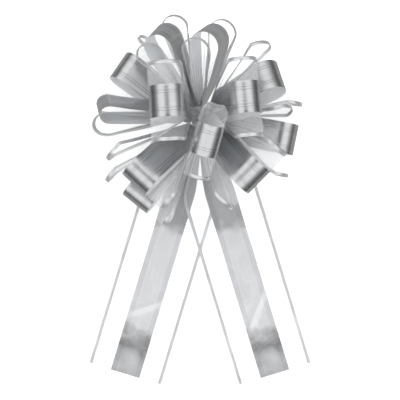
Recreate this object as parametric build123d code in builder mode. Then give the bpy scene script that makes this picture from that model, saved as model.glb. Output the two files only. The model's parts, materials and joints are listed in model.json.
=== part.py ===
from build123d import *

import os
from collections import namedtuple
from math import asin, cos, radians, sin, sqrt

# A pull bow lying on its back, face up: two layers of ribbon, a satin one on a wide sheer one, drawn
# into loops along two pull strings. X is right and Y is up as the bow is seen from the front, Z comes
# out of its face, and the origin is the middle of the knot's underside. Millimetres.

# Ribbon. The layers are drawn thicker than film, so that each stays one sound solid.
satin_width = 20.0
sheer_width = 50.0
satin_film = 0.4
sheer_film = 0.4
layer_gap = 0.15
neck_width = 7.0

# String stack: each neck is a gathered and welded stretch of both layers between two loops.
string_width = 3.0
string_film = 0.4
string_spacing = 1.0
string_clearance = 0.25
stack_lean = 0.35
neck_length = 11.4
neck_film = 1.6
neck_pitch = 2.0
loop_clearance = 0.7
first_neck_base = 4.0

# Knot under the stack, which the bow is fixed by, and the seal that holds the strings at its top.
knot_radius = 4.0
knot_height = 1.2
knot_rounding = 0.4
seal_width = 5.0
seal_depth = 4.0
seal_height = 1.2
seal_rounding = 1.0
seal_clearance = 0.2

# Tails. The left one lies on the floor, and the right one passes over it before it comes down.
tail_length = 172.0
tail_splay = 16.9
tail_layer_gap = 0.1
tail_clearance = 0.3
tail_eye_radius = 3.2
tail_tab_radius = 5.5
tail_neck_width = 8.0
tail_ramp_start = 7.0
tail_ramp_end = 24.0
tail_wide_from = 48.0
tail_drop_start = 135.0
tail_drop_end = 155.0

# Each loop: its azimuth, its climb above the floor and its roll about its own line, in degrees; how
# far it reaches and how much it bulges; and how wide the sheer layer stands to each side of its line.
# A side under half the ribbon is one that is folded in against the next loop.
full_side = sheer_width / 2
Loop = namedtuple("Loop", "azimuth climb roll reach bulge left_side right_side")
loops = [
    Loop(144.0, 11.5, 14.0, 61.0, 16.0, full_side, 15.0),
    Loop(231.0, 8.0, 5.0, 63.0, 16.0, full_side, full_side),
    Loop(-11.0, 5.0, 0.0, 58.0, 21.0, full_side, full_side),
    Loop(83.0, 24.0, 71.0, 58.0, 20.0, full_side, full_side),
    Loop(225.0, 28.0, 5.0, 60.0, 20.0, full_side, full_side),
    Loop(28.0, 25.0, -24.0, 57.0, 20.0, full_side, full_side),
    Loop(116.5, 19.0, 60.0, 59.0, 19.0, full_side, full_side),
    Loop(-50.0, 34.0, 10.0, 60.0, 22.0, full_side, full_side),
    Loop(177.0, 12.0, 64.0, 61.0, 12.0, 10.0, full_side),
    Loop(14.0, 63.0, -10.0, 59.0, 20.0, full_side, full_side),
    Loop(170.0, 73.0, 14.0, 60.0, 23.0, full_side, full_side),
    Loop(-77.0, 74.0, 62.0, 58.0, 17.5, full_side, 16.0),
]
sheer_taper = 0.85
satin_taper = 0.3

neck_count = len(loops) - 1
stack_top = first_neck_base + (neck_count - 1) * neck_pitch + neck_film
stack_radius = neck_length / 2 + loop_clearance
lean_length = sqrt(1 + stack_lean**2)


def write(piece, label):
    """Labels a finished piece and writes it to its own STEP file."""
    piece.part.label = label
    export_step(piece.part, f"parts/{label}.step")


def on_axis(height):
    """The point of the leaning string line at this height."""
    return Vector(0, stack_lean * height, height)


def loop_frame(number):
    """Where a loop leaves the stack, the way it points, its width's direction and its bulge's."""
    loop = loops[number - 1]
    turn, climb, roll = radians(loop.azimuth), radians(loop.climb), radians(loop.roll)
    along = Vector(cos(turn) * cos(climb), sin(turn) * cos(climb), sin(climb))
    level = Vector(-sin(turn), cos(turn), 0)
    across = level * cos(roll) + along.cross(level) * sin(roll)
    height = first_neck_base - (neck_pitch - neck_film) / 2 + (number - 1) * neck_pitch
    outward = Vector(cos(turn), sin(turn), 0) * stack_radius
    return on_axis(height) + outward, along, across, along.cross(across)


def teardrop(loop, radius):
    """A loop's outline seen along its width: two straight legs and a round crest of this radius."""
    middle = loop.reach - loop.bulge / 2
    lean = asin(loop.bulge / 2 / middle)
    leg_end = Vector(middle - radius * sin(lean), radius * cos(lean))
    leg_start = Vector(middle - radius / sin(lean), 0)
    mirrored_end = Vector(leg_end.X, -leg_end.Y)
    with BuildLine() as outline:
        Line(leg_start, leg_end)
        ThreePointArc(leg_end, (middle + radius, 0), mirrored_end)
        Line(mirrored_end, leg_start)
    return outline.line


def ribbon_loop(number, inner_radius, film, left_side, right_side, taper, start):
    """One layer of a loop, narrowing to the neck's width where it leaves the stack."""
    loop = loops[number - 1]
    root, along, across, bulge_way = loop_frame(number)
    side_view = Plane(origin=root, x_dir=along, z_dir=across)
    flat_view = Plane(origin=root, x_dir=along, z_dir=bulge_way)
    wide_from = taper * loop.reach
    tip = loop.reach + loop.bulge
    half_neck = neck_width / 2
    with BuildPart() as band:
        with BuildSketch(side_view):
            make_face(teardrop(loop, inner_radius + film))
            make_face(teardrop(loop, inner_radius), mode=Mode.SUBTRACT)
        extrude(amount=sheer_width, both=True)
        with BuildSketch(flat_view):
            Polygon(
                (start, half_neck),
                (wide_from, right_side),
                (tip, right_side),
                (tip, -left_side),
                (wide_from, -left_side),
                (start, -half_neck),
                align=None,
            )
        extrude(amount=loop.bulge, both=True, mode=Mode.INTERSECT)
    return band


def tail_layer(azimuth, heights, width, film):
    """One layer of a tail: an eye round the strings, a neck, and a flat run at these heights."""
    tab_height, crossing_height, end_height = heights
    side_points = [
        (-tail_tab_radius, tab_height),
        (tail_ramp_start, tab_height),
        (tail_ramp_end, crossing_height),
        (tail_drop_start, crossing_height),
        (tail_drop_end, end_height),
        (tail_length, end_height),
    ]
    upper_points = [(run, height + film) for run, height in reversed(side_points)]
    level = Plane.XY.rotated((0, 0, azimuth))
    upright = Plane(origin=(0, 0, 0), x_dir=level.x_dir, z_dir=-level.y_dir)
    with BuildPart() as layer:
        with BuildSketch(upright):
            Polygon(*side_points, *upper_points, align=None)
        extrude(amount=width / 2, both=True)
        with BuildSketch(level):
            Circle(tail_tab_radius)
            Polygon(
                (0, tail_neck_width / 2),
                (tail_ramp_start, tail_neck_width / 2),
                (tail_wide_from, width / 2),
                (tail_length, width / 2),
                (tail_length, -width / 2),
                (tail_wide_from, -width / 2),
                (tail_ramp_start, -tail_neck_width / 2),
                (0, -tail_neck_width / 2),
                align=None,
            )
            Circle(tail_eye_radius, mode=Mode.SUBTRACT)
        extrude(amount=first_neck_base, mode=Mode.INTERSECT)
    return layer


os.makedirs("parts", exist_ok=True)

# Loops: the sheer layer with its bright edges inside, and the satin layer on the outside.
for number, loop in enumerate(loops, start=1):
    sheer_inside = loop.bulge / 2 - sheer_film
    sheer_loop = ribbon_loop(
        number, sheer_inside, sheer_film, loop.left_side, loop.right_side, sheer_taper, 0.0
    )
    write(sheer_loop, f"sheer_loop_{number:02d}")
    satin_inside = loop.bulge / 2 + layer_gap
    half_satin = satin_width / 2
    satin_loop = ribbon_loop(
        number, satin_inside, satin_film, half_satin, half_satin, satin_taper, loop_clearance
    )
    write(satin_loop, f"satin_loop_{number:02d}")

# Necks: one between each two loops, turned towards the loop below it, with a slot for each string.
string_way = Vector(0, stack_lean, 1)
for number in range(1, neck_count + 1):
    neck_base = first_neck_base + (number - 1) * neck_pitch
    neck_plane = Plane(origin=on_axis(neck_base)).rotated((0, 0, loops[number - 1].azimuth))
    cut_base = neck_base - neck_film
    with BuildPart() as neck:
        with BuildSketch(neck_plane):
            SlotOverall(neck_length, neck_width)
        extrude(amount=neck_film)
        with BuildSketch(Plane(origin=on_axis(cut_base))):
            with GridLocations(0, 2 * string_spacing, 1, 2):
                Rectangle(string_width + 2 * string_clearance, string_film + 2 * string_clearance)
        extrude(amount=3 * neck_film * lean_length, dir=string_way, mode=Mode.SUBTRACT)
    write(neck, f"neck_{number:02d}")

# Pull strings: two narrow flat ribbons through every neck, from the knot to the seal at the top.
seal_base = stack_top + seal_clearance
string_ends = {"front_pull_string": -string_spacing, "back_pull_string": string_spacing}
for label, shift in string_ends.items():
    foot = on_axis(knot_height) + Vector(0, shift, 0)
    with BuildPart() as pull_string:
        with BuildSketch(Plane(origin=foot)):
            Rectangle(string_width, string_film)
        extrude(amount=(seal_base - knot_height) * lean_length, dir=string_way)
    write(pull_string, label)

with BuildPart() as string_knot:
    Cylinder(knot_radius, knot_height, align=(Align.CENTER, Align.CENTER, Align.MIN))
    fillet(string_knot.edges().group_by(Axis.Z)[-1], knot_rounding)
write(string_knot, "string_knot")

with BuildPart() as string_seal:
    with BuildSketch(Plane(origin=on_axis(seal_base))):
        RectangleRounded(seal_width, seal_depth, seal_rounding)
    extrude(amount=seal_height)
    fillet(string_seal.edges().group_by(Axis.Z)[-1], knot_rounding)
write(string_seal, "string_seal")

# Tails: the sheer layer below and the satin one above it, the right tail over the left one.
two_layers = sheer_film + tail_layer_gap + satin_film
left_tab = knot_height + tail_clearance
right_tab = left_tab + two_layers + tail_clearance
right_crossing = two_layers + tail_clearance
satin_lift = sheer_film + tail_layer_gap
tails = {
    "left": (-90 - tail_splay, (left_tab, 0, 0)),
    "right": (-90 + tail_splay, (right_tab, right_crossing, 0)),
}
for side, (azimuth, heights) in tails.items():
    sheer_tail = tail_layer(azimuth, heights, sheer_width, sheer_film)
    write(sheer_tail, f"sheer_tail_{side}")
    raised = [height + satin_lift for height in heights]
    satin_tail = tail_layer(azimuth, raised, satin_width, satin_film)
    write(satin_tail, f"satin_tail_{side}")
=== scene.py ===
import bpy
import bmesh
import json
from math import asin, cos, exp, pi, radians, sin
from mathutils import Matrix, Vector, noise


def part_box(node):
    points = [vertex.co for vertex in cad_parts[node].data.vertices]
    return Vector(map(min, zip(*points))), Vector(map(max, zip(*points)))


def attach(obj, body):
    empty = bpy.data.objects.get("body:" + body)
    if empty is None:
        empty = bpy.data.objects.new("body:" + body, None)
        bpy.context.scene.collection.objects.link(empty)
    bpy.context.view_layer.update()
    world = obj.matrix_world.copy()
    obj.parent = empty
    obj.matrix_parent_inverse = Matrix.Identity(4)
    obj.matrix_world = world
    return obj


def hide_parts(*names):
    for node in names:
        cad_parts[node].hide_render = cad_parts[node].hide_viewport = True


# A pull bow lying on its back: satin ribbon over wide sheer ribbon, drawn into loops on two strings.
# The CAD pieces give every place. The ribbons are modelled here as thin film.
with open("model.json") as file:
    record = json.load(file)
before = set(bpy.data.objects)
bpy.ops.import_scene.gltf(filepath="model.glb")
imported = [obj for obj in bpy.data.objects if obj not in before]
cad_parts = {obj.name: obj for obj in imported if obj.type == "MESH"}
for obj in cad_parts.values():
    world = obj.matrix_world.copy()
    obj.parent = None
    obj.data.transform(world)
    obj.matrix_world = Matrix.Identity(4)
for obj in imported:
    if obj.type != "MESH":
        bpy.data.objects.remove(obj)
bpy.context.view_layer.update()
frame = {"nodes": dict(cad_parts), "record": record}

mm = 0.001
bodyOfNode = {}
for bodyName, members in frame["record"]["behaviour"]["bodies"].items():
    for member in members:
        bodyOfNode[member] = bodyName


def newMaterial(name):
    material = bpy.data.materials.new(name)
    material.use_nodes = True
    shader = material.node_tree.nodes["Principled BSDF"]
    return material, material.node_tree, shader


def addNode(tree, kind, inputs=None, **settings):
    node = tree.nodes.new(kind)
    for key, value in settings.items():
        setattr(node, key, value)
    for socket, value in (inputs or {}).items():
        if isinstance(value, bpy.types.NodeSocket):
            tree.links.new(value, node.inputs[socket])
        else:
            node.inputs[socket].default_value = value
    return node


def mathNode(tree, operation, *values, clamp=False):
    node = addNode(tree, "ShaderNodeMath", dict(enumerate(values)), operation=operation, use_clamp=clamp)
    return node.outputs[0]


def rampNode(tree, factor, stops, interpolation="LINEAR"):
    node = addNode(tree, "ShaderNodeValToRGB", {0: factor})
    ramp = node.color_ramp
    ramp.interpolation = interpolation
    while len(ramp.elements) < len(stops):
        ramp.elements.new(0.5)
    for element, (place, tone) in zip(ramp.elements, stops):
        element.position = place
        element.color = (*tone, 1) if hasattr(tone, "__len__") else (tone, tone, tone, 1)
    return node.outputs[0]


def mixColors(tree, factor, first, second):
    node = addNode(tree, "ShaderNodeMix", data_type="RGBA")
    for index, value in ((0, factor), (6, first), (7, second)):
        if isinstance(value, bpy.types.NodeSocket):
            tree.links.new(value, node.inputs[index])
        else:
            node.inputs[index].default_value = (*value, 1) if hasattr(value, "__len__") else value
    return node.outputs[2]


def newGroup(name, numbers, outputs):
    group = bpy.data.node_groups.new(name, "ShaderNodeTree")
    group.interface.new_socket("Vector", in_out="INPUT", socket_type="NodeSocketVector")
    for label, value in numbers.items():
        socket = group.interface.new_socket(label, in_out="INPUT", socket_type="NodeSocketFloat")
        socket.default_value = value
    for label in outputs:
        group.interface.new_socket(label, in_out="OUTPUT", socket_type="NodeSocketFloat")
    return group, group.nodes.new("NodeGroupInput"), group.nodes.new("NodeGroupOutput")


def placeGroup(tree, group, vector, **numbers):
    node = tree.nodes.new("ShaderNodeGroup")
    node.node_tree = group
    tree.links.new(vector, node.inputs["Vector"])
    for label, value in numbers.items():
        node.inputs[label].default_value = value
    return node


# Effects that several finishes share. They read a ribbon's own UV: U goes from 0 to 1 across its width,
# and V runs along it.
def makeStreaks():
    # fine lines that run along a film ribbon, as its rollers leave them
    group, start, end = newGroup("filmStreaks", {"Fineness": 60.0, "Length": 1.2}, ["Streak"])
    parts = addNode(group, "ShaderNodeSeparateXYZ", {0: start.outputs["Vector"]})
    across = mathNode(group, "MULTIPLY", parts.outputs[0], start.outputs["Fineness"])
    along = mathNode(group, "MULTIPLY", parts.outputs[1], start.outputs["Length"])
    stretched = addNode(group, "ShaderNodeCombineXYZ", {0: across, 1: along})
    grain = addNode(
        group, "ShaderNodeTexNoise", {"Vector": stretched.outputs[0], "Scale": 1.0, "Detail": 3.0}
    )
    group.links.new(grain.outputs[0], end.inputs["Streak"])
    return group


def makePressedLines():
    # two bands of pressed lines beside the ribbon's edges
    group, start, end = newGroup(
        "pressedLines", {"Band start": 0.13, "Band end": 0.3, "Lines": 13.0}, ["Line"]
    )
    parts = addNode(group, "ShaderNodeSeparateXYZ", {0: start.outputs["Vector"]})
    mirrored = mathNode(group, "PINGPONG", parts.outputs[0], 0.5)
    inside = mathNode(group, "GREATER_THAN", mirrored, start.outputs["Band start"])
    outside = mathNode(group, "LESS_THAN", mirrored, start.outputs["Band end"])
    band = mathNode(group, "MULTIPLY", inside, outside)
    phase = mathNode(group, "MULTIPLY", mirrored, start.outputs["Lines"])
    tooth = mathNode(group, "PINGPONG", phase, 0.5)
    narrow = mathNode(group, "POWER", mathNode(group, "MULTIPLY", tooth, 2.0), 3.0)
    group.links.new(mathNode(group, "MULTIPLY", narrow, band), end.inputs["Line"])
    return group


def makeNetWeave():
    # the fine square net of sheer ribbon
    group, start, end = newGroup("netWeave", {"Threads": 70.0}, ["Thread"])
    parts = addNode(group, "ShaderNodeSeparateXYZ", {0: start.outputs["Vector"]})
    strands = []
    for axis in (0, 1):
        phase = mathNode(group, "MULTIPLY", parts.outputs[axis], start.outputs["Threads"])
        tooth = mathNode(group, "MULTIPLY", mathNode(group, "PINGPONG", phase, 0.5), 2.0)
        strands.append(mathNode(group, "POWER", tooth, 3.0))
    group.links.new(mathNode(group, "MAXIMUM", *strands), end.inputs["Thread"])
    return group


def makeCrumple():
    # soft creases of pressed foil
    group, start, end = newGroup("foilCrumple", {"Size": 4.0, "Fold": 1.0}, ["Crease"])
    cells = addNode(
        group, "ShaderNodeTexVoronoi",
        {"Vector": start.outputs["Vector"], "Scale": start.outputs["Size"]},
        feature="DISTANCE_TO_EDGE",
    )
    soft = addNode(
        group, "ShaderNodeTexNoise",
        {"Vector": start.outputs["Vector"], "Scale": start.outputs["Size"], "Detail": 2.0},
    )
    folded = mathNode(group, "MULTIPLY", cells.outputs[0], start.outputs["Fold"])
    group.links.new(mathNode(group, "ADD", folded, soft.outputs[0]), end.inputs["Crease"])
    return group


filmStreaks = makeStreaks()
pressedLines = makePressedLines()
netWeave = makeNetWeave()
foilCrumple = makeCrumple()

satinLook = {
    "bright": (0.74, 0.75, 0.76), "dark": (0.65, 0.66, 0.67), "pressed": (0.42, 0.43, 0.44),
    "metallic": 0.94, "smooth": 0.22, "rough": 0.26, "lineTone": 0.6,
    "lineDepth": 0.07 * mm, "lineStrength": 0.7,
}


def satinFace():
    material, tree, shader = newMaterial("satinFace")
    strip = addNode(tree, "ShaderNodeUVMap", uv_map="ribbon").outputs[0]
    streaks = placeGroup(tree, filmStreaks, strip)
    lines = placeGroup(tree, pressedLines, strip)
    streak, line = streaks.outputs["Streak"], lines.outputs["Line"]
    tone = rampNode(tree, streak, [(0.3, satinLook["dark"]), (0.62, satinLook["bright"])])
    lining = mathNode(tree, "MULTIPLY", line, satinLook["lineTone"])
    lined = mixColors(tree, lining, tone, satinLook["pressed"])
    tree.links.new(lined, shader.inputs["Base Color"])
    spread = rampNode(tree, streak, [(0.25, satinLook["smooth"]), (0.7, satinLook["rough"])])
    tree.links.new(spread, shader.inputs["Roughness"])
    shader.inputs["Metallic"].default_value = satinLook["metallic"]
    bump = addNode(
        tree, "ShaderNodeBump",
        {"Height": line, "Distance": satinLook["lineDepth"], "Strength": satinLook["lineStrength"]},
    )
    tree.links.new(bump.outputs[0], shader.inputs["Normal"])
    return material


tailLook = {
    # painted light: the tails' satin is a lighter, less metallic copy of the loops' satin, standing in
    # for how the light falls on the flat tails
    "light": (0.87, 0.88, 0.895), "band": (0.73, 0.735, 0.76), "metallic": 0.34, "roughness": 0.3,
    "bandEdge": 0.18, "bandTone": 0.6, "streakTone": 0.94, "fineness": 30.0, "streakLength": 0.4,
    "creaseSize": 1.6, "creaseFold": 0.8, "creaseDepth": 1.1 * mm, "creaseStrength": 0.6,
    "shadeSpan": 8.5, "shadeWander": 0.8,
    # painted shade along the tail, from the knot, 0, to its end, 1: the bow's shadow near the knot and a
    # shaded band among the creases near the end
    "paintedShades": [(0.0, 0.6), (0.32, 0.64), (0.365, 0.6), (0.42, 0.99), (0.8, 1.0), (0.845, 0.5),
               (0.875, 0.34), (0.91, 0.6), (0.96, 0.76), (1.0, 0.62)],
}


def satinTailFace():
    # the flat tails: a lighter, less metallic copy of the satin that stands in for the light on them,
    # creased near their ends, with painted shade where the bow shades them as they come out and a painted
    # shaded band among the creases near their ends
    material, tree, shader = newMaterial("satinTailFace")
    strip = addNode(tree, "ShaderNodeUVMap", uv_map="ribbon").outputs[0]
    creases = placeGroup(
        tree, foilCrumple, strip, Size=tailLook["creaseSize"], Fold=tailLook["creaseFold"]
    )
    parts = addNode(tree, "ShaderNodeSeparateXYZ", {0: strip})
    # the span is the tail's length in ribbon widths, and the creases shift the painted shade along it
    wander, span = tailLook["shadeWander"], tailLook["shadeSpan"]
    bent = mathNode(tree, "MULTIPLY_ADD", creases.outputs["Crease"], wander, parts.outputs[1])
    run = mathNode(tree, "MULTIPLY_ADD", bent, 1 / span, 0.5 - 0.5 / span)
    # painted shade: the bow's shadow at the tail's root and the crease shading near its end
    shade = rampNode(tree, run, tailLook["paintedShades"])
    streaks = placeGroup(
        tree, filmStreaks, strip, Fineness=tailLook["fineness"], Length=tailLook["streakLength"]
    )
    mirrored = mathNode(tree, "PINGPONG", parts.outputs[0], 0.5)
    banded = mathNode(tree, "LESS_THAN", mirrored, tailLook["bandEdge"])
    banding = mathNode(tree, "MULTIPLY", banded, tailLook["bandTone"])
    # the light tone is painted light for the flat tails; the darker bands by the edges are the ribbon's
    # own
    tone = mixColors(tree, banding, tailLook["light"], tailLook["band"])
    faint = rampNode(tree, streaks.outputs["Streak"], [(0.3, tailLook["streakTone"]), (0.65, 1.0)])
    shaded = addNode(tree, "ShaderNodeMix", data_type="RGBA", blend_type="MULTIPLY")
    shaded.inputs[0].default_value = 1.0
    tree.links.new(tone, shaded.inputs[6])
    tree.links.new(mathNode(tree, "MULTIPLY", shade, faint), shaded.inputs[7])
    tree.links.new(shaded.outputs[2], shader.inputs["Base Color"])
    shader.inputs["Metallic"].default_value = tailLook["metallic"]
    shader.inputs["Roughness"].default_value = tailLook["roughness"]
    bump = addNode(
        tree, "ShaderNodeBump",
        {
            "Height": creases.outputs["Crease"], "Distance": tailLook["creaseDepth"],
            "Strength": tailLook["creaseStrength"],
        },
    )
    tree.links.new(bump.outputs[0], shader.inputs["Normal"])
    return material


reverseLook = {
    "dark": (0.8, 0.815, 0.83), "bright": (0.86, 0.875, 0.89), "metallic": 0.0, "roughness": 0.62,
    "fineness": 40.0,
}


def satinBackFace():
    # the satin's reverse, seen through the sheer layer inside each loop
    material, tree, shader = newMaterial("satinReverse")
    strip = addNode(tree, "ShaderNodeUVMap", uv_map="ribbon").outputs[0]
    streaks = placeGroup(tree, filmStreaks, strip, Fineness=reverseLook["fineness"])
    stops = [(0.3, reverseLook["dark"]), (0.7, reverseLook["bright"])]
    tone = rampNode(tree, streaks.outputs["Streak"], stops)
    tree.links.new(tone, shader.inputs["Base Color"])
    shader.inputs["Roughness"].default_value = reverseLook["roughness"]
    shader.inputs["Metallic"].default_value = reverseLook["metallic"]
    return material


# clear, thread and cloud are how much of the film shows: everywhere, at each thread, and in its streaks
sheerLook = {
    "tone": (0.95, 0.96, 0.97), "roughness": 0.35, "fineness": 25.0,
    "clear": 0.03, "thread": 0.16, "cloud": 0.05,
}


def sheerFilm():
    material, tree, shader = newMaterial("sheerFilm")
    strip = addNode(tree, "ShaderNodeUVMap", uv_map="ribbon").outputs[0]
    net = placeGroup(tree, netWeave, strip)
    streaks = placeGroup(tree, filmStreaks, strip, Fineness=sheerLook["fineness"])
    shader.inputs["Base Color"].default_value = (*sheerLook["tone"], 1)
    shader.inputs["Roughness"].default_value = sheerLook["roughness"]
    threads = mathNode(tree, "MULTIPLY", net.outputs["Thread"], sheerLook["thread"])
    cloud = mathNode(tree, "MULTIPLY", streaks.outputs["Streak"], sheerLook["cloud"])
    alpha = mathNode(tree, "ADD", mathNode(tree, "ADD", threads, cloud), sheerLook["clear"], clamp=True)
    tree.links.new(alpha, shader.inputs["Alpha"])
    return material


edgeLook = {
    "dark": (0.62, 0.63, 0.64), "bright": (0.92, 0.93, 0.94), "roughness": 0.28,
    "fineness": 120.0, "streakLength": 4.0, "loopMetallic": 0.65, "tailMetallic": 0.42,
}


def silverEdge(name, metallic):
    material, tree, shader = newMaterial(name)
    strip = addNode(tree, "ShaderNodeUVMap", uv_map="ribbon").outputs[0]
    streaks = placeGroup(
        tree, filmStreaks, strip, Fineness=edgeLook["fineness"], Length=edgeLook["streakLength"]
    )
    stops = [(0.3, edgeLook["dark"]), (0.65, edgeLook["bright"])]
    tone = rampNode(tree, streaks.outputs["Streak"], stops)
    tree.links.new(tone, shader.inputs["Base Color"])
    shader.inputs["Metallic"].default_value = metallic
    shader.inputs["Roughness"].default_value = edgeLook["roughness"]
    return material


weldLook = {
    "dark": (0.35, 0.36, 0.37), "bright": (0.66, 0.67, 0.68), "metallic": 0.6, "roughness": 0.4,
    "grain": (900, 900, 250), "grainDepth": 0.2 * mm, "grainStrength": 0.6,
}


def weldedRibbon():
    # gathered and heat-welded film, and the strings and knot
    material, tree, shader = newMaterial("gatheredRibbon")
    place = addNode(tree, "ShaderNodeTexCoord").outputs["Object"]
    spread = addNode(tree, "ShaderNodeMapping", {0: place, 3: weldLook["grain"]})
    grain = addNode(
        tree, "ShaderNodeTexNoise", {"Vector": spread.outputs[0], "Scale": 1.0, "Detail": 3.0}
    )
    tone = rampNode(tree, grain.outputs[0], [(0.35, weldLook["dark"]), (0.65, weldLook["bright"])])
    tree.links.new(tone, shader.inputs["Base Color"])
    shader.inputs["Metallic"].default_value = weldLook["metallic"]
    shader.inputs["Roughness"].default_value = weldLook["roughness"]
    bump = addNode(
        tree, "ShaderNodeBump",
        {
            "Height": grain.outputs[0], "Distance": weldLook["grainDepth"],
            "Strength": weldLook["grainStrength"],
        },
    )
    tree.links.new(bump.outputs[0], shader.inputs["Normal"])
    return material


satinMaterial = satinFace()
tailMaterial = satinTailFace()
reverseMaterial = satinBackFace()
sheerMaterial = sheerFilm()
edgeMaterial = silverEdge("silverEdge", edgeLook["loopMetallic"])
tailEdgeMaterial = silverEdge("silverTailEdge", edgeLook["tailMetallic"])
weldMaterial = weldedRibbon()
print("materials made")


def flatStrip(width, length, cutsAcross, cutsAlong, edgeBand=0.0):
    # a flat cut of ribbon on XY: X across it, Y along it, with its own UV
    bm = bmesh.new()
    bmesh.ops.create_grid(bm, x_segments=cutsAcross, y_segments=cutsAlong, size=0.5)
    bmesh.ops.scale(bm, vec=(width, length, 1), verts=bm.verts)
    if edgeBand:
        for side in (-1, 1):
            bmesh.ops.bisect_plane(
                bm, geom=bm.verts[:] + bm.edges[:] + bm.faces[:], dist=1e-6,
                plane_co=(side * (width / 2 - edgeBand), 0, 0), plane_no=(1, 0, 0),
            )
    ribbonUv = bm.loops.layers.uv.new("ribbon")
    for face in bm.faces:
        face.smooth = True
        middle = face.calc_center_median()
        face.material_index = 1 if edgeBand and abs(middle.x) > width / 2 - edgeBand else 0
        for corner in face.loops:
            corner[ribbonUv].uv = (corner.vert.co.x / width + 0.5, corner.vert.co.y / width)
    return bm


def finishRibbon(bm, name, materials, thickness, backShift=0, edgeThickness=0.0):
    edgeVerts = [v.index for v in bm.verts if any(f.material_index == 1 for f in v.link_faces)]
    mesh = bpy.data.meshes.new(name)
    bm.to_mesh(mesh)
    bm.free()
    piece = bpy.data.objects.new(name, mesh)
    bpy.context.scene.collection.objects.link(piece)
    for material in materials:
        mesh.materials.append(material)
    solidify = piece.modifiers.new("film", "SOLIDIFY")
    solidify.thickness = thickness
    if edgeThickness:
        group = piece.vertex_groups.new(name="thickEdge")
        group.add(edgeVerts, 1.0, "REPLACE")
        solidify.thickness = edgeThickness
        solidify.vertex_group = "thickEdge"
        solidify.thickness_vertex_group = thickness / edgeThickness
    solidify.offset = -1
    solidify.material_offset = backShift
    solidify.material_offset_rim = 0
    evenNormals = piece.modifiers.new("evenNormals", "WEIGHTED_NORMAL")
    evenNormals.mode = "FACE_AREA"
    evenNormals.weight = 50
    return piece


def evenlySpaced(points, count):
    # the same line with its points an equal way apart
    reached = [0.0]
    for before, after in zip(points, points[1:]):
        reached.append(reached[-1] + (after - before).length)
    total, spaced, index = reached[-1], [], 0
    for step in range(count + 1):
        want = total * step / count
        while index < len(points) - 2 and reached[index + 1] < want:
            index += 1
        share = (want - reached[index]) / max(reached[index + 1] - reached[index], 1e-9)
        spaced.append(points[index].lerp(points[index + 1], min(share, 1)))
    return spaced, total


def softened(points, rounds):
    for _ in range(rounds):
        inner = zip(points, points[1:], points[2:])
        eased = [(before + 2 * point + after) / 4 for before, point, after in inner]
        points = [points[0]] + eased + [points[-1]]
    return points


def middleOf(node):
    low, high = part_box(node)
    return (low + high) / 2


# the leaning line of the strings, from the necks' boxes
neckNodes = sorted(node for node in frame["nodes"] if node.startswith("neck_"))
firstNeck, lastNeck = middleOf(neckNodes[0]), middleOf(neckNodes[-1])
stackWay = (lastNeck - firstNeck) / (lastNeck.z - firstNeck.z)
neckLow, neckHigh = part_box(neckNodes[0])
neckPitch = (lastNeck.z - firstNeck.z) / (len(neckNodes) - 1)
firstRootHeight = neckLow.z - (neckPitch - (neckHigh.z - neckLow.z)) / 2


def stackPoint(height):
    return firstNeck + stackWay * (height - neckLow.z)


loopShape = {
    "stackRadius": 6.4 * mm, "neckHalf": 3.5 * mm, "layerGap": 0.15 * mm, "rootStart": -0.2 * mm,
    "satinWidth": 20 * mm, "sheerWidth": 50 * mm, "edgeBand": 2.2 * mm,
    "satinFilm": 0.16 * mm, "sheerFilm": 0.1 * mm,
    "satinTaper": 0.3, "sheerTaper": 0.85, "bow": 0.8 * mm, "softRounds": 10,
    "edgeFilm": 0.6 * mm, "rows": 110, "satinColumns": 10, "sheerColumns": 44,
    "pleats": 7, "pleatDepth": 2.6 * mm, "pleatAtMiddle": 0.35, "curl": 70, "roomInside": 0.8,
    "waver": 0.35 * mm, "waverScale": 45, "waverShift": 7.3, "legSteps": 40, "crestSteps": 60,
}
# azimuth, climb and roll in degrees, reach and bulge in millimetres, and how far the sheer stands to each
# side, where 25 is the whole of it; spread and longer open out the rim of a side
loops = {
    1: dict(azimuth=144, climb=11.5, roll=14, reach=61, bulge=16, left=25, right=15),
    2: dict(azimuth=231, climb=8, roll=5, reach=63, bulge=16, left=25, right=25),
    3: dict(azimuth=-11, climb=5, roll=0, reach=58, bulge=21, left=25, right=25),
    4: dict(azimuth=83, climb=24, roll=71, reach=58, bulge=20, left=25, right=25),
    5: dict(azimuth=225, climb=28, roll=5, reach=60, bulge=20, left=25, right=25),
    6: dict(azimuth=28, climb=25, roll=-24, reach=57, bulge=20, left=25, right=25),
    7: dict(azimuth=116.5, climb=19, roll=60, reach=59, bulge=19, left=25, right=25),
    8: dict(azimuth=-50, climb=34, roll=10, reach=60, bulge=22, left=25, right=25),
    9: dict(
        azimuth=177, climb=12, roll=64, reach=61, bulge=12, left=10, right=25,
        spread=(0, 3), longer=(0, 4),
    ),
    10: dict(azimuth=14, climb=63, roll=-10, reach=59, bulge=20, left=25, right=25),
    11: dict(azimuth=170, climb=73, roll=14, reach=60, bulge=23, left=25, right=25),
    12: dict(azimuth=-77, climb=74, roll=62, reach=58, bulge=17.5, left=25, right=16),
}


def loopFrame(number):
    loop = loops[number]
    turn, climb, roll = radians(loop["azimuth"]), radians(loop["climb"]), radians(loop["roll"])
    along = Vector((cos(turn) * cos(climb), sin(turn) * cos(climb), sin(climb)))
    level = Vector((-sin(turn), cos(turn), 0))
    across = level * cos(roll) + along.cross(level) * sin(roll)
    height = firstRootHeight + (number - 1) * neckPitch
    middle = stackPoint(height)
    outward = Vector((cos(turn), sin(turn), 0)) * loopShape["stackRadius"]
    root = Vector((middle.x, middle.y, height)) + outward
    return root, along, across, along.cross(across)


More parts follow.
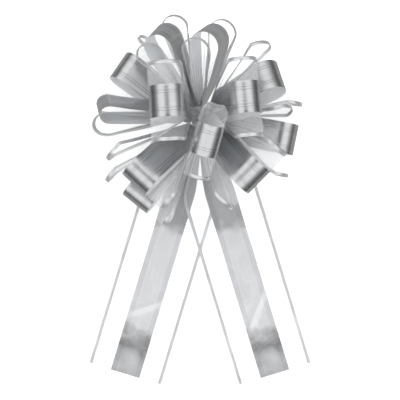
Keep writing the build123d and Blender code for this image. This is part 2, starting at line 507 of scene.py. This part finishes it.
def loopLine(number, offset):
    # the loop seen along its width, from its lower root round the crest to its upper root
    loop = loops[number]
    reach, bulge = loop["reach"] * mm, loop["bulge"] * mm
    radius, middle = bulge / 2 + offset, reach - bulge / 2
    lean = asin(bulge / 2 / middle)
    start = Vector((middle - radius / sin(lean), 0))
    legEnd = Vector((middle - radius * sin(lean), -radius * cos(lean)))
    outward = Vector((-sin(lean), -cos(lean)))
    leg = []
    firstShare = max(loopShape["rootStart"] - start.x, 0) / (legEnd.x - start.x)
    for step in range(loopShape["legSteps"]):
        share = firstShare + (1 - firstShare) * step / loopShape["legSteps"]
        leg.append(start.lerp(legEnd, share) + outward * loopShape["bow"] * sin(pi * share) ** 2)
    crest = []
    for step in range(loopShape["crestSteps"] + 1):
        angle = (pi / 2 + lean) * (2 * step / loopShape["crestSteps"] - 1)
        crest.append(Vector((middle + radius * cos(angle), radius * sin(angle))))
    back = [Vector((point.x, -point.y)) for point in reversed(leg)]
    line, total = evenlySpaced(leg + crest + back, loopShape["rows"])
    return softened(line, loopShape["softRounds"]), total


def bendLoop(bm, number, width, sides, taper, pleats, length, line):
    # lays a flat strip along the loop's line: it widens from the neck, its pleats open towards the crest,
    # and a side that the next loop presses on curls in
    loop = loops[number]
    root, along, across, bulgeWay = loopFrame(number)
    rows = len(line) - 1
    wideFrom, neckHalf, half = taper * loop["reach"] * mm, loopShape["neckHalf"], width / 2
    middle = (loop["reach"] - loop["bulge"] / 2) * mm
    for vert in bm.verts:
        row = min(max((vert.co.y / length + 0.5) * rows, 0), rows)
        index = min(int(row), rows - 1)
        point = line[index].lerp(line[index + 1], row - index)
        way = (line[index + 1] - line[index]).normalized()
        outward = Vector((way.y, -way.x))
        side, which = vert.co.x / half, 1 if vert.co.x > 0 else 0
        grown = min(max(point.x / wideFrom, 0), 1)
        flat = abs(vert.co.x)
        room = loopShape["roomInside"] * loop["bulge"] / 2 * mm * min(1, max(point.x / middle, 0))
        inward = 0.0
        if sides[which] < flat and sides[which] < half:
            radius = (half - sides[which]) / radians(loopShape["curl"])
            angle = (flat - sides[which]) / radius
            flat = sides[which] + radius * sin(angle)
            inward = radius * (1 - cos(angle)) * grown
        reachOut = flat * (neckHalf / half + (1 - neckHalf / half) * grown)
        if pleats:
            fold = (1 - cos(pleats * pi * side + number)) / 2
            shallow = loopShape["pleatAtMiddle"]  # how deep they are at the ribbon's middle
            deep = (shallow + (1 - shallow) * abs(side)) * 4 * grown * (1 - grown)  # deepest half way out
            inward += fold * loopShape["pleatDepth"] * deep
            covered = loopShape["satinWidth"] / 2  # the part under the satin
            rim = max(abs(side) * half - covered, 0) / (half - covered)
            inward -= loop.get("spread", (0, 0))[which] * mm * rim**2 * min(1, max(point.x / middle, 0))
            point = point + Vector((loop.get("longer", (0, 0))[which] * mm * rim**2 * grown, 0))
        place = root + along * point.x + bulgeWay * point.y
        place += across * (reachOut if vert.co.x > 0 else -reachOut)
        seed = Vector((number * loopShape["waverShift"], 0, 0))
        wave = noise.noise(seed + place * loopShape["waverScale"]) * loopShape["waver"] * grown
        place += (along * outward.x + bulgeWay * outward.y) * (wave - min(inward, room))
        vert.co = place


def makeLoop(number):
    loop = loops[number]
    half = loopShape["satinWidth"] / 2
    body = bodyOfNode[f"satin_loop_{number:02d}"]

    line, length = loopLine(number, loopShape["layerGap"] + loopShape["satinFilm"])
    bm = flatStrip(2 * half, length, loopShape["satinColumns"], loopShape["rows"])
    bendLoop(bm, number, 2 * half, (half, half), loopShape["satinTaper"], 0, length, line)
    satin = finishRibbon(
        bm, f"satinLoop_{number:02d}", [satinMaterial, reverseMaterial], loopShape["satinFilm"], 1
    )
    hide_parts(f"satin_loop_{number:02d}")
    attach(satin, body)

    line, length = loopLine(number, 0)
    width = loopShape["sheerWidth"]
    sides = (loop["left"] * mm, loop["right"] * mm)
    bm = flatStrip(width, length, loopShape["sheerColumns"], loopShape["rows"], loopShape["edgeBand"])
    bendLoop(bm, number, width, sides, loopShape["sheerTaper"], loopShape["pleats"], length, line)
    sheer = finishRibbon(
        bm, f"sheerLoop_{number:02d}", [sheerMaterial, edgeMaterial], loopShape["sheerFilm"],
        edgeThickness=loopShape["edgeFilm"],
    )
    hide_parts(f"sheer_loop_{number:02d}")
    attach(sheer, body)


for number in loops:
    makeLoop(number)
print("loops made:", len(loops))


tailShape = {
    "satinWidth": 20 * mm, "sheerWidth": 50 * mm, "edgeBand": 2.2 * mm,
    "satinFilm": 0.16 * mm, "sheerFilm": 0.1 * mm, "edgeFilm": 0.25 * mm, "satinLift": 0.6 * mm,
    "start": 3.3 * mm, "length": 172 * mm, "pleats": 5, "pleatHeight": 0.35 * mm,
    "pleatFrom": 4 * mm, "pleatTo": 14 * mm, "widenBefore": 4 * mm,
    "creaseHeight": 0.9 * mm, "creaseFoot": 4, "creaseLean": 1.4, "rumpleScale": 60, "rumpleShift": 3,
    "neckHalf": 4 * mm, "wideFrom": 48 * mm, "rampStart": 7 * mm, "rampEnd": 24 * mm,
    "dropStart": 135 * mm, "dropEnd": 155 * mm, "rows": 170, "satinColumns": 20, "sheerColumns": 36,
}
# azimuth in degrees, and in millimetres the height at the knot, the height where one tail passes over the
# other, and the rumple; a crease is its place along the tail, its slant in degrees and its width
tails = {
    "left": dict(
        azimuth=-106.9, tab=1.5, crossing=0.0, rumple=0.2, creases=[(125, -30, 3), (149, 12, 2)]
    ),
    "right": dict(
        azimuth=-73.1, tab=2.7, crossing=1.2, rumple=0.5, creases=[(128, -65, 3), (148, -14, 2)]
    ),
}


def smoothStep(value, low, high):
    share = min(max((value - low) / (high - low), 0), 1)
    return share * share * (3 - 2 * share)


def tailHeight(tail, run):
    high = tail["tab"] * mm * (1 - smoothStep(run, tailShape["rampStart"], tailShape["rampEnd"]))
    low = tail["crossing"] * mm * smoothStep(run, tailShape["rampStart"], tailShape["rampEnd"])
    return high + low * (1 - smoothStep(run, tailShape["dropStart"], tailShape["dropEnd"]))


def layTail(bm, tail, width, length, lift, crumple):
    turn = radians(tail["azimuth"])
    along, across = Vector((cos(turn), sin(turn), 0)), Vector((-sin(turn), cos(turn), 0))
    for vert in bm.verts:
        run = vert.co.y + length / 2 + tailShape["start"]
        side = vert.co.x / (width / 2)
        grown = smoothStep(run, tailShape["rampStart"] - tailShape["widenBefore"], tailShape["wideFrom"])
        half = tailShape["neckHalf"] + (width / 2 - tailShape["neckHalf"]) * grown
        height = tailHeight(tail, run) + lift
        pleat = (1 - cos(tailShape["pleats"] * pi * side)) / 2 * tailShape["pleatHeight"] * (1 - grown)
        pleat *= smoothStep(run, tailShape["pleatFrom"], tailShape["pleatTo"])
        ridge = 0.0
        if crumple:
            for place, slant, sharp in tail["creases"]:
                slope = sin(radians(slant)) * tailShape["creaseLean"]
                way = run / mm - place + side * width / 2 / mm * slope
                # steep on the far side only
                spread = sharp if way > 0 else tailShape["creaseFoot"] * sharp
                ridge += tailShape["creaseHeight"] * exp(-((way / spread) ** 2))
            seed = Vector((tailShape["rumpleShift"], 0, 0))
            rumple = 0.5 + noise.noise(vert.co * tailShape["rumpleScale"] + seed)
            ridge += tail["rumple"] * mm * rumple * grown
        vert.co = along * run - across * side * half + Vector((0, 0, height + pleat + ridge))


def makeTail(side):
    tail = tails[side]
    length = tailShape["length"] - tailShape["start"]
    body = bodyOfNode[f"satin_tail_{side}"]
    width = tailShape["sheerWidth"]
    bm = flatStrip(width, length, tailShape["sheerColumns"], tailShape["rows"], tailShape["edgeBand"])
    layTail(bm, tail, width, length, tailShape["sheerFilm"], False)
    sheer = finishRibbon(
        bm, f"sheerTail_{side}", [sheerMaterial, tailEdgeMaterial], tailShape["sheerFilm"],
        edgeThickness=tailShape["edgeFilm"],
    )
    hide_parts(f"sheer_tail_{side}")
    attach(sheer, body)

    width = tailShape["satinWidth"]
    bm = flatStrip(width, length, tailShape["satinColumns"], tailShape["rows"])
    layTail(bm, tail, width, length, tailShape["satinLift"], True)
    satin = finishRibbon(
        bm, f"satinTail_{side}", [tailMaterial, reverseMaterial], tailShape["satinFilm"], 1
    )
    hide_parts(f"satin_tail_{side}")
    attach(satin, body)


for side in tails:
    makeTail(side)
print("tails made")


# the necks, strings, knot and seal keep their CAD shapes
for name, node in frame["nodes"].items():
    if name.startswith(("neck_", "front_", "back_", "string_")):
        node.data.materials.clear()
        node.data.materials.append(weldMaterial)
print("stack finished")


studio = {
    "floorHalf": 2.5, "floorDrop": 0.2 * mm, "floorTone": 0.93, "floorRoughness": 0.9, "floorGlow": 0.6,
    # the floor's tone in the film's gloss, which falls off between these two ways from the bow
    "nearInGloss": 0.34, "farInGloss": 0.05, "nearReach": 0.13, "farReach": 0.26,
    "cameraHeight": 1.0, "cameraY": -0.0487, "lens": 135.0, "sensor": 36, "worldStrength": 1.0,
    # the tent's tone from straight up, 0, to straight down, 1
    "tent": [(0.0, 0.02), (0.05, 0.04), (0.12, 1.0), (0.2, 2.2), (0.29, 0.8), (0.37, 0.4), (0.45, 0.06)],
    "boxes": {
        "leftBox": dict(place=(-0.9, 0.3, 0.7), size=(0.7, 0.9), power=4.8),
        "rightBox": dict(place=(0.9, -0.1, 0.8), size=(0.5, 0.9), power=3.4),
    },
}


def makeFloor():
    bm = bmesh.new()
    bmesh.ops.create_grid(bm, x_segments=1, y_segments=1, size=studio["floorHalf"])
    mesh = bpy.data.meshes.new("floor")
    bm.to_mesh(mesh)
    bm.free()
    floor = bpy.data.objects.new("floor", mesh)
    bpy.context.scene.collection.objects.link(floor)
    floor.location.z = -studio["floorDrop"]
    material, tree, shader = newMaterial("paleFloor")
    shader.inputs["Base Color"].default_value = (studio["floorTone"],) * 3 + (1,)
    shader.inputs["Roughness"].default_value = studio["floorRoughness"]
    shader.inputs["Specular IOR Level"].default_value = 0.0
    shader.inputs["Emission Color"].default_value = (1, 1, 1, 1)
    shader.inputs["Emission Strength"].default_value = studio["floorGlow"]
    place = addNode(tree, "ShaderNodeTexCoord").outputs["Object"]
    away = addNode(tree, "ShaderNodeVectorMath", {0: place}, operation="LENGTH").outputs["Value"]
    stops = [(studio["nearReach"], studio["nearInGloss"]), (studio["farReach"], studio["farInGloss"])]
    fade = rampNode(tree, away, stops, "EASE")
    dim = addNode(tree, "ShaderNodeEmission", {"Color": fade})
    path = addNode(tree, "ShaderNodeLightPath")
    blend = addNode(tree, "ShaderNodeMixShader", {0: path.outputs["Is Glossy Ray"]})
    tree.links.new(shader.outputs[0], blend.inputs[1])
    tree.links.new(dim.outputs[0], blend.inputs[2])
    tree.links.new(blend.outputs[0], tree.nodes["Material Output"].inputs[0])
    mesh.materials.append(material)


def makeWorld():
    # a soft tent: a dim top where the camera looks in, bright walls, and dimmer low down
    world = bpy.data.worlds.new("studioTent")
    bpy.context.scene.world = world
    world.use_nodes = True
    tree = world.node_tree
    way = addNode(tree, "ShaderNodeTexCoord").outputs["Generated"]
    parts = addNode(tree, "ShaderNodeSeparateXYZ", {0: way})
    tilt = mathNode(tree, "DIVIDE", mathNode(tree, "ARCCOSINE", parts.outputs[2]), pi)
    tone = rampNode(tree, tilt, studio["tent"], "B_SPLINE")
    background = tree.nodes["Background"]
    tree.links.new(tone, background.inputs[0])
    background.inputs[1].default_value = studio["worldStrength"]


def makeLight(name, place, size, power):
    light = bpy.data.lights.new(name, "AREA")
    light.shape = "RECTANGLE"
    light.size, light.size_y = size
    light.energy = power
    lamp = bpy.data.objects.new(name, light)
    lamp.location = place
    lamp.visible_glossy = False
    lamp.rotation_euler = (-Vector(place)).to_track_quat("-Z", "Y").to_euler()
    bpy.context.scene.collection.objects.link(lamp)


def makeCamera():
    camera = bpy.data.cameras.new("camera")
    camera.lens = studio["lens"]
    camera.sensor_width = studio["sensor"]
    holder = bpy.data.objects.new("camera", camera)
    holder.location = (0, studio["cameraY"], studio["cameraHeight"])
    bpy.context.scene.collection.objects.link(holder)
    bpy.context.scene.camera = holder


makeFloor()
makeWorld()
for boxName, box in studio["boxes"].items():
    makeLight(boxName, box["place"], box["size"], box["power"])
makeCamera()
bpy.context.scene.view_settings.view_transform = "Standard"
bpy.context.scene.cycles.transparent_max_bounces = 48
bpy.context.view_layer.update()
print("floor, light and camera made")
